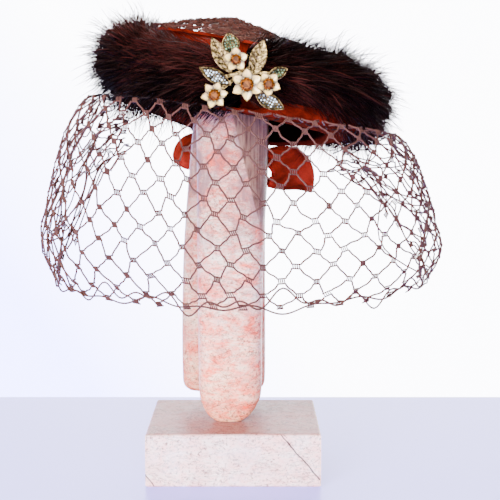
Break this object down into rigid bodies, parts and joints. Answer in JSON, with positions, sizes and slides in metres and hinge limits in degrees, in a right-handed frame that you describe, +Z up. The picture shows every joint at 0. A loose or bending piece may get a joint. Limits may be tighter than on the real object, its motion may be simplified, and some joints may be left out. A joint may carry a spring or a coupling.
{
  "type": "fur halo hat on a marble stand",
  "caption": "Fur halo hat with a velvet frame, netted crown, net veil, velvet bow and jewelled flower brooch, on a block stand with an arched post.",
  "frame": {"origin": "middle of the stand's foot, on the surface that it rests on", "axes": "+Z up, the hat faces -Y, +X is the viewer's right"},
  "size_m": [0.3539, 0.2785, 0.4089],
  "materials": {
    "marble": "honed pink marble",
    "velvet": "rust velvet",
    "fur": "dark brown fur",
    "net": "rose taupe net",
    "gold": "aged gold",
    "crystal": "clear cut stones",
    "green_crystal": "pale green cut stones",
    "petal": "cream enamel",
    "amber": "amber cut stones"
  },
  "bodies": {
    "root": {"stand_block": "marble", "stand_post": "marble", "halo_frame": "velvet", "fur_left": "fur", "fur_right": "fur", "veil_net": "net", "crown_net": "net", "bow_knot": "velvet", "bow_loop_left": "velvet", "bow_loop_right": "velvet", "brooch_setting": "gold", "gold_leaf_left": "gold", "gold_leaf_right": "gold", "green_leaf_top": "green_crystal", "green_leaf_right": "green_crystal", "crystal_leaf_up": "crystal", "crystal_leaf_low": "crystal", "flower_top": "petal", "flower_left": "petal", "flower_middle": "petal", "flower_right": "petal", "amber_stone_top": "amber", "amber_stone_left": "amber", "amber_stone_middle": "amber", "amber_stone_right": "amber"}
  },
  "joints": []
}
